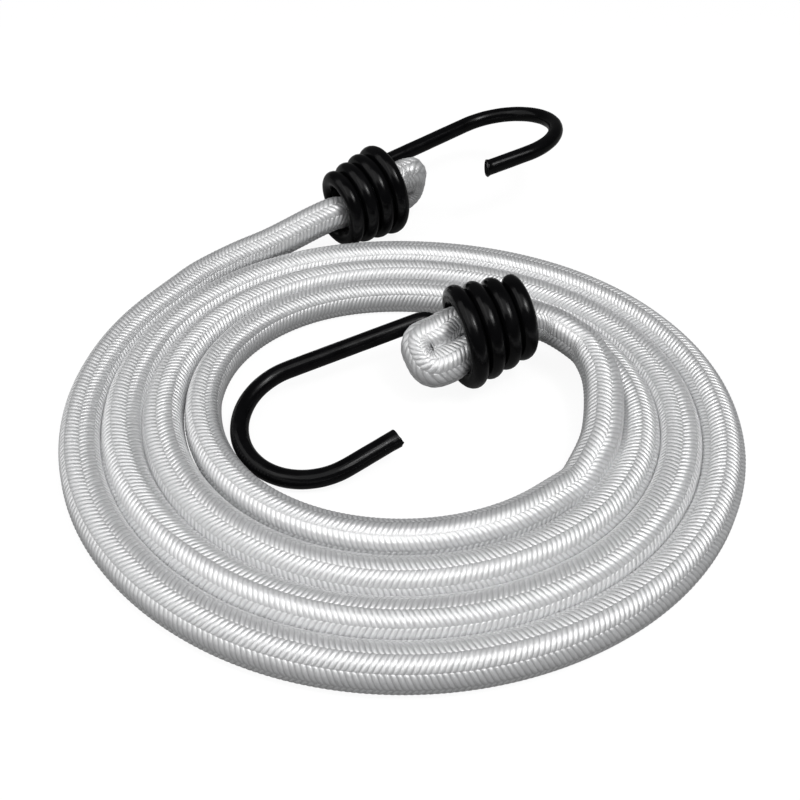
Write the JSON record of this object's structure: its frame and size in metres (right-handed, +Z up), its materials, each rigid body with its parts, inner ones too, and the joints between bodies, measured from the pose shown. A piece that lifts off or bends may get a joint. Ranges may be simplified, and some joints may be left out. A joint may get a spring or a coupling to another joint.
{
  "type": "bungee cord",
  "caption": "Elastic tie-down cord lying in a flat coil: braided sheath over a rubber core, with a coated wire hook wound onto each doubled-back end.",
  "frame": {"origin": "on the floor, under the middle of the whole part as it lies coiled", "axes": "+Z up from the floor, +Y from the coil towards the hook behind it, +X across the coil"},
  "size_m": [0.177, 0.217, 0.0293],
  "materials": {
    "sheath": "braided, satin",
    "core": "matte",
    "coating": "gloss",
    "wire": "drawn"
  },
  "bodies": {
    "cord": {"coil_sheath": "sheath", "coil_core": "core", "inner_lead_sheath": "sheath", "inner_lead_core": "core", "inner_end_sheath": "sheath", "inner_end_core": "core", "outer_lead_sheath": "sheath", "outer_lead_core": "core"},
    "outer_end": {"outer_end_sheath": "sheath", "outer_end_core": "core"},
    "inner_hook": {"inner_hook_coating": "coating", "inner_hook_wire": "wire"},
    "outer_hook": {"outer_hook_coating": "coating", "outer_hook_wire": "wire"}
  },
  "joints": [
    {"name": "outer_stretch", "type": "slide", "parent": "cord", "child": "outer_end", "axis": [0.8101, 0.58, 0.0854], "range_m": [0, 0.05], "stiffness_N_per_m": 3600, "deforming": ["outer_lead_sheath", "outer_lead_core"]},
    {"name": "outer_hook_swivel", "type": "hinge", "parent": "outer_end", "child": "outer_hook", "pos_m": [-0.00446, 0.06634, 0.0146], "axis": [0.8101, 0.58, 0.0854], "range_deg": [-60, 50]},
    {"name": "inner_hook_swivel", "type": "hinge", "parent": "cord", "child": "inner_hook", "pos_m": [0.01481, -0.01102, 0.01488], "axis": [-0.9199, -0.3661, -0.1409], "range_deg": [0, 10]}
  ]
}
